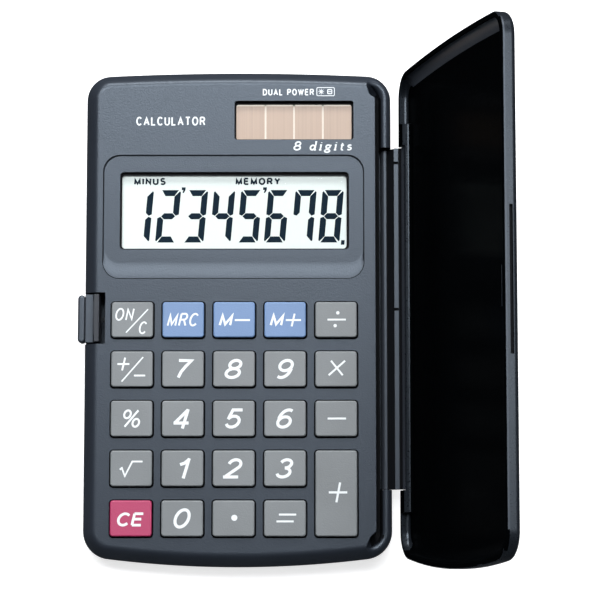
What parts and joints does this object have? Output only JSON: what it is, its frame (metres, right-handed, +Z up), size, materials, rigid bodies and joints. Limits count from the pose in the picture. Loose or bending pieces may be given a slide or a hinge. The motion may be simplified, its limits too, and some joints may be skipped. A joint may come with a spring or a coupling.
{
  "type": "pocket calculator",
  "caption": "Flat pocket calculator with display, solar window, keypad, side latch and a hard cover that folds round on a double hinge.",
  "frame": {"origin": "centre of the flat back of the body", "axes": "+Z up out of the keys, +Y towards the top of the display, +X towards the hinge"},
  "size_m": [0.0888, 0.107, 0.0703],
  "materials": {
    "case_plastic": "fine satin texture, slate grey-black",
    "cover_plastic": "semi-gloss black",
    "key_grey": "satin light grey",
    "key_blue": "satin pale blue",
    "key_pink": "satin pink-red",
    "keypad_rubber": "matte moulded silicone",
    "board": "solder mask",
    "epoxy": "cast epoxy",
    "lcd_glass": "clear glass",
    "reflector": "silver-white film",
    "holder": "white plastic",
    "clear_window": "clear acrylic",
    "solar_cell": "amorphous cell behind glass, pale tan",
    "lead_insulation": "insulated wire",
    "steel": "plated steel",
    "contact_brass": "sprung brass strip"
  },
  "bodies": {
    "case": {"top_case": "case_plastic", "rear_case": "case_plastic", "body_hinge_pins": "steel", "rubber_keypad": "keypad_rubber", "circuit_board": "board", "chip_epoxy": "epoxy", "capacitor": "epoxy", "lcd_front_glass": "lcd_glass", "lcd_rear_glass": "lcd_glass", "lcd_reflector": "reflector", "lcd_holder": "holder", "zebra_strip": "keypad_rubber", "display_window": "clear_window", "solar_panel": "solar_cell", "power_leads": "lead_insulation", "battery_cell": "steel", "battery_contact_plus": "contact_brass", "battery_contact_minus": "contact_brass", "case_screws": "steel", "board_screws": "steel", "latch_spring": "steel"},
    "link": {"hinge_link": "cover_plastic"},
    "cover": {"cover": "cover_plastic", "cover_hinge_pins": "steel"},
    "latch": {"latch_button": "cover_plastic"},
    "key_on_c": {"key_on_c": "key_grey"},
    "key_mrc": {"key_mrc": "key_blue"},
    "key_m_minus": {"key_m_minus": "key_blue"},
    "key_m_plus": {"key_m_plus": "key_blue"},
    "key_divide": {"key_divide": "key_grey"},
    "key_sign": {"key_sign": "key_grey"},
    "key_7": {"key_7": "key_grey"},
    "key_8": {"key_8": "key_grey"},
    "key_9": {"key_9": "key_grey"},
    "key_multiply": {"key_multiply": "key_grey"},
    "key_percent": {"key_percent": "key_grey"},
    "key_4": {"key_4": "key_grey"},
    "key_5": {"key_5": "key_grey"},
    "key_6": {"key_6": "key_grey"},
    "key_minus": {"key_minus": "key_grey"},
    "key_root": {"key_root": "key_grey"},
    "key_1": {"key_1": "key_grey"},
    "key_2": {"key_2": "key_grey"},
    "key_3": {"key_3": "key_grey"},
    "key_plus": {"key_plus": "key_grey"},
    "key_ce": {"key_ce": "key_pink"},
    "key_0": {"key_0": "key_grey"},
    "key_point": {"key_point": "key_grey"},
    "key_equals": {"key_equals": "key_grey"}
  },
  "joints": [
    {"name": "key_on_c_press", "type": "slide", "parent": "case", "child": "key_on_c", "axis": [0, 0, -1], "range_m": [0, 0.0008], "stiffness_N_per_m": 900, "springref_m": -0.0002, "deforming": ["rubber_keypad"]},
    {"name": "key_mrc_press", "type": "slide", "parent": "case", "child": "key_mrc", "axis": [0, 0, -1], "range_m": [0, 0.0008], "stiffness_N_per_m": 900, "springref_m": -0.0002, "deforming": ["rubber_keypad"]},
    {"name": "key_m_minus_press", "type": "slide", "parent": "case", "child": "key_m_minus", "axis": [0, 0, -1], "range_m": [0, 0.0008], "stiffness_N_per_m": 900, "springref_m": -0.0002, "deforming": ["rubber_keypad"]},
    {"name": "key_m_plus_press", "type": "slide", "parent": "case", "child": "key_m_plus", "axis": [0, 0, -1], "range_m": [0, 0.0008], "stiffness_N_per_m": 900, "springref_m": -0.0002, "deforming": ["rubber_keypad"]},
    {"name": "key_divide_press", "type": "slide", "parent": "case", "child": "key_divide", "axis": [0, 0, -1], "range_m": [0, 0.0008], "stiffness_N_per_m": 900, "springref_m": -0.0002, "deforming": ["rubber_keypad"]},
    {"name": "key_sign_press", "type": "slide", "parent": "case", "child": "key_sign", "axis": [0, 0, -1], "range_m": [0, 0.0008], "stiffness_N_per_m": 900, "springref_m": -0.0002, "deforming": ["rubber_keypad"]},
    {"name": "key_7_press", "type": "slide", "parent": "case", "child": "key_7", "axis": [0, 0, -1], "range_m": [0, 0.0008], "stiffness_N_per_m": 900, "springref_m": -0.0002, "deforming": ["rubber_keypad"]},
    {"name": "key_8_press", "type": "slide", "parent": "case", "child": "key_8", "axis": [0, 0, -1], "range_m": [0, 0.0008], "stiffness_N_per_m": 900, "springref_m": -0.0002, "deforming": ["rubber_keypad"]},
    {"name": "key_9_press", "type": "slide", "parent": "case", "child": "key_9", "axis": [0, 0, -1], "range_m": [0, 0.0008], "stiffness_N_per_m": 900, "springref_m": -0.0002, "deforming": ["rubber_keypad"]},
    {"name": "key_multiply_press", "type": "slide", "parent": "case", "child": "key_multiply", "axis": [0, 0, -1], "range_m": [0, 0.0008], "stiffness_N_per_m": 900, "springref_m": -0.0002, "deforming": ["rubber_keypad"]},
    {"name": "key_percent_press", "type": "slide", "parent": "case", "child": "key_percent", "axis": [0, 0, -1], "range_m": [0, 0.0008], "stiffness_N_per_m": 900, "springref_m": -0.0002, "deforming": ["rubber_keypad"]},
    {"name": "key_4_press", "type": "slide", "parent": "case", "child": "key_4", "axis": [0, 0, -1], "range_m": [0, 0.0008], "stiffness_N_per_m": 900, "springref_m": -0.0002, "deforming": ["rubber_keypad"]},
    {"name": "key_5_press", "type": "slide", "parent": "case", "child": "key_5", "axis": [0, 0, -1], "range_m": [0, 0.0008], "stiffness_N_per_m": 900, "springref_m": -0.0002, "deforming": ["rubber_keypad"]},
    {"name": "key_6_press", "type": "slide", "parent": "case", "child": "key_6", "axis": [0, 0, -1], "range_m": [0, 0.0008], "stiffness_N_per_m": 900, "springref_m": -0.0002, "deforming": ["rubber_keypad"]},
    {"name": "key_minus_press", "type": "slide", "parent": "case", "child": "key_minus", "axis": [0, 0, -1], "range_m": [0, 0.0008], "stiffness_N_per_m": 900, "springref_m": -0.0002, "deforming": ["rubber_keypad"]},
    {"name": "key_root_press", "type": "slide", "parent": "case", "child": "key_root", "axis": [0, 0, -1], "range_m": [0, 0.0008], "stiffness_N_per_m": 900, "springref_m": -0.0002, "deforming": ["rubber_keypad"]},
    {"name": "key_1_press", "type": "slide", "parent": "case", "child": "key_1", "axis": [0, 0, -1], "range_m": [0, 0.0008], "stiffness_N_per_m": 900, "springref_m": -0.0002, "deforming": ["rubber_keypad"]},
    {"name": "key_2_press", "type": "slide", "parent": "case", "child": "key_2", "axis": [0, 0, -1], "range_m": [0, 0.0008], "stiffness_N_per_m": 900, "springref_m": -0.0002, "deforming": ["rubber_keypad"]},
    {"name": "key_3_press", "type": "slide", "parent": "case", "child": "key_3", "axis": [0, 0, -1], "range_m": [0, 0.0008], "stiffness_N_per_m": 900, "springref_m": -0.0002, "deforming": ["rubber_keypad"]},
    {"name": "key_plus_press", "type": "slide", "parent": "case", "child": "key_plus", "axis": [0, 0, -1], "range_m": [0, 0.0008], "stiffness_N_per_m": 1200, "springref_m": -0.0002, "deforming": ["rubber_keypad"]},
    {"name": "key_ce_press", "type": "slide", "parent": "case", "child": "key_ce", "axis": [0, 0, -1], "range_m": [0, 0.0008], "stiffness_N_per_m": 900, "springref_m": -0.0002, "deforming": ["rubber_keypad"]},
    {"name": "key_0_press", "type": "slide", "parent": "case", "child": "key_0", "axis": [0, 0, -1], "range_m": [0, 0.0008], "stiffness_N_per_m": 900, "springref_m": -0.0002, "deforming": ["rubber_keypad"]},
    {"name": "key_point_press", "type": "slide", "parent": "case", "child": "key_point", "axis": [0, 0, -1], "range_m": [0, 0.0008], "stiffness_N_per_m": 900, "springref_m": -0.0002, "deforming": ["rubber_keypad"]},
    {"name": "key_equals_press", "type": "slide", "parent": "case", "child": "key_equals", "axis": [0, 0, -1], "range_m": [0, 0.0008], "stiffness_N_per_m": 900, "springref_m": -0.0002, "deforming": ["rubber_keypad"]},
    {"name": "latch_slide", "type": "slide", "parent": "case", "child": "latch", "axis": [1, 0, 0], "range_m": [0, 0.0012], "stiffness_N_per_m": 800, "springref_m": -0.0002, "deforming": ["latch_spring"]},
    {"name": "link_hinge", "type": "hinge", "parent": "case", "child": "link", "pos_m": [0.03185, 0, 0.0039], "axis": [0, -1, 0], "range_deg": [-127.5, 52.5]},
    {"name": "cover_hinge", "type": "hinge", "parent": "link", "child": "cover", "pos_m": [0.03629, 0, 0.00731], "axis": [0, -1, 0], "range_deg": [-127.5, 52.5]}
  ],
  "couplings": [
    {"joint": "cover_hinge", "follows": "link_hinge", "ratio": 1}
  ]
}
